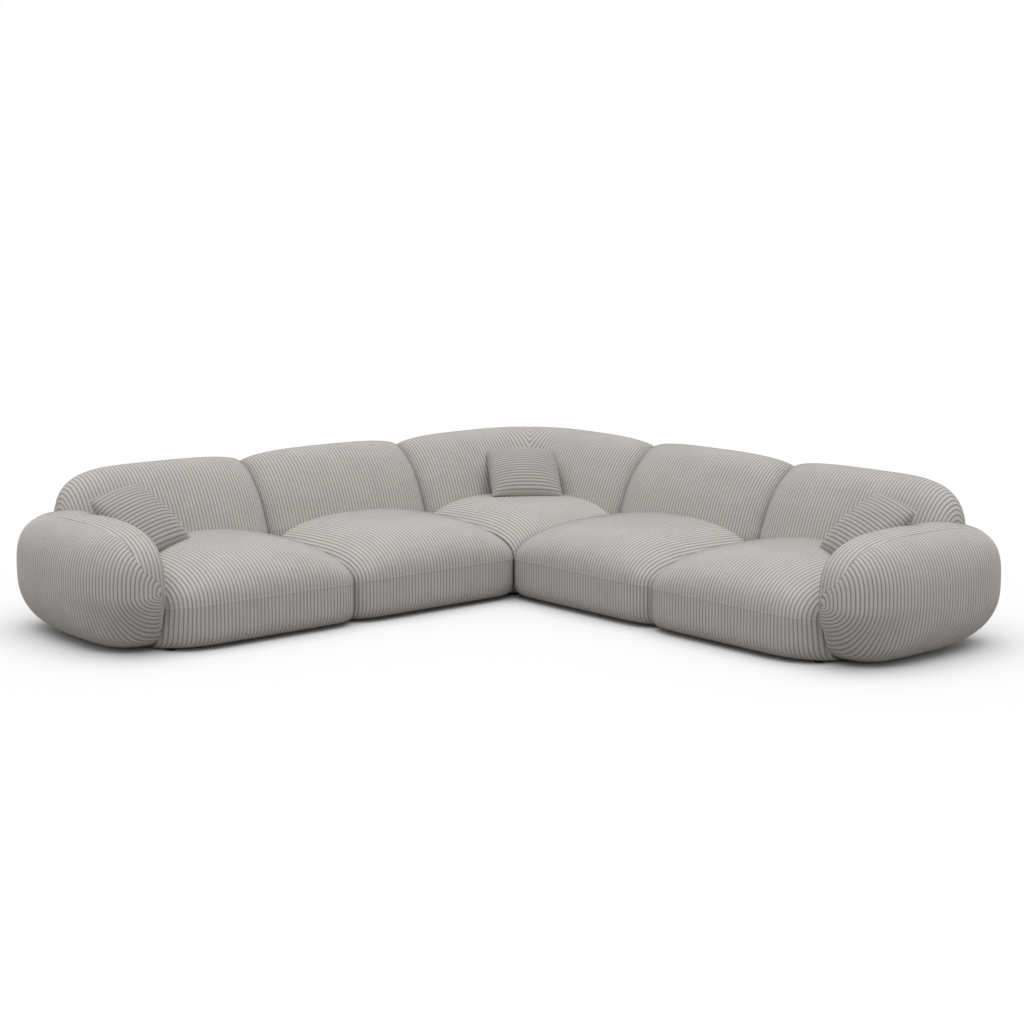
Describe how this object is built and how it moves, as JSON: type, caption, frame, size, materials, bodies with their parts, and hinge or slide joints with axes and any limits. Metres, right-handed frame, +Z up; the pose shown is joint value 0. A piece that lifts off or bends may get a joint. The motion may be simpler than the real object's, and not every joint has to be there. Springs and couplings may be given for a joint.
{
  "type": "corner sofa",
  "caption": "Low modular corner sofa in wide-wale corduroy: rounded seat and back pads, slab arms and square throw pillows.",
  "frame": {"origin": "middle of the floor plan's bounding square, on the floor", "axes": "+Z up; the sofa's outer corner is at -X +Y; the left run goes from it along -Y and faces +X, the right run along +X and faces -Y"},
  "size_m": [3.3318, 3.3318, 0.7428],
  "materials": {
    "corduroy": "light warm grey wide-wale corduroy, matte chenille",
    "pillow_corduroy": "the same wide-wale corduroy, matte chenille",
    "timber": "planed pine rails, unfinished",
    "plywood": "birch plywood and pine posts, unfinished",
    "elastic_webbing": "woven elastic straps, matte",
    "glide_plastic": "moulded plastic, fine matte",
    "dust_cloth": "thin non-woven cloth, matte",
    "connector_steel": "pressed zinc-plated steel",
    "zinc_screw": "zinc-plated steel screws"
  },
  "bodies": {
    "corner": {"corner_seat_pad": "corduroy", "corner_back_pad": "corduroy", "corner_seat_frame": "timber", "corner_back_frame": "plywood", "corner_webbing": "elastic_webbing", "corner_glides": "glide_plastic", "corner_dust_cover": "dust_cloth", "corner_connector_pockets": "connector_steel", "corner_connector_screws": "zinc_screw"},
    "left_middle": {"left_middle_seat_pad": "corduroy", "left_middle_back_pad": "corduroy", "left_middle_seat_frame": "timber", "left_middle_back_frame": "plywood", "left_middle_webbing": "elastic_webbing", "left_middle_glides": "glide_plastic", "left_middle_dust_cover": "dust_cloth", "left_middle_connector_hooks": "connector_steel", "left_middle_connector_pockets": "connector_steel", "left_middle_connector_screws": "zinc_screw"},
    "right_middle": {"right_middle_seat_pad": "corduroy", "right_middle_back_pad": "corduroy", "right_middle_seat_frame": "timber", "right_middle_back_frame": "plywood", "right_middle_webbing": "elastic_webbing", "right_middle_glides": "glide_plastic", "right_middle_dust_cover": "dust_cloth", "right_middle_connector_hooks": "connector_steel", "right_middle_connector_pockets": "connector_steel", "right_middle_connector_screws": "zinc_screw"},
    "left_end": {"left_end_seat_pad": "corduroy", "left_end_back_pad": "corduroy", "left_end_seat_frame": "timber", "left_end_back_frame": "plywood", "left_end_webbing": "elastic_webbing", "left_end_glides": "glide_plastic", "left_end_dust_cover": "dust_cloth", "left_end_connector_hooks": "connector_steel", "left_end_connector_screws": "zinc_screw", "left_arm_pad": "corduroy", "left_arm_frame": "timber"},
    "right_end": {"right_end_seat_pad": "corduroy", "right_end_back_pad": "corduroy", "right_end_seat_frame": "timber", "right_end_back_frame": "plywood", "right_end_webbing": "elastic_webbing", "right_end_glides": "glide_plastic", "right_end_dust_cover": "dust_cloth", "right_end_connector_hooks": "connector_steel", "right_end_connector_screws": "zinc_screw", "right_arm_pad": "corduroy", "right_arm_frame": "timber"},
    "corner_pillow": {"corner_throw_pillow": "pillow_corduroy"},
    "left_pillow": {"left_throw_pillow": "pillow_corduroy"},
    "right_pillow": {"right_throw_pillow": "pillow_corduroy"}
  },
  "joints": [
    {"name": "left_middle_lift", "type": "slide", "parent": "corner", "child": "left_middle", "axis": [0, 0, 1], "range_m": [0, 0.06]},
    {"name": "left_end_lift", "type": "slide", "parent": "left_middle", "child": "left_end", "axis": [0, 0, 1], "range_m": [0, 0.06]},
    {"name": "right_middle_lift", "type": "slide", "parent": "corner", "child": "right_middle", "axis": [0, 0, 1], "range_m": [0, 0.06]},
    {"name": "right_end_lift", "type": "slide", "parent": "right_middle", "child": "right_end", "axis": [0, 0, 1], "range_m": [0, 0.06]},
    {"name": "corner_pillow_pull", "type": "slide", "parent": "corner", "child": "corner_pillow", "axis": [0.4644, -0.2703, 0.8434], "range_m": [0, 0.25]},
    {"name": "left_pillow_pull", "type": "slide", "parent": "left_end", "child": "left_pillow", "axis": [0.62, 0.2063, 0.757], "range_m": [0, 0.25]},
    {"name": "right_pillow_pull", "type": "slide", "parent": "right_end", "child": "right_pillow", "axis": [-0.2063, -0.62, 0.757], "range_m": [0, 0.25]}
  ]
}
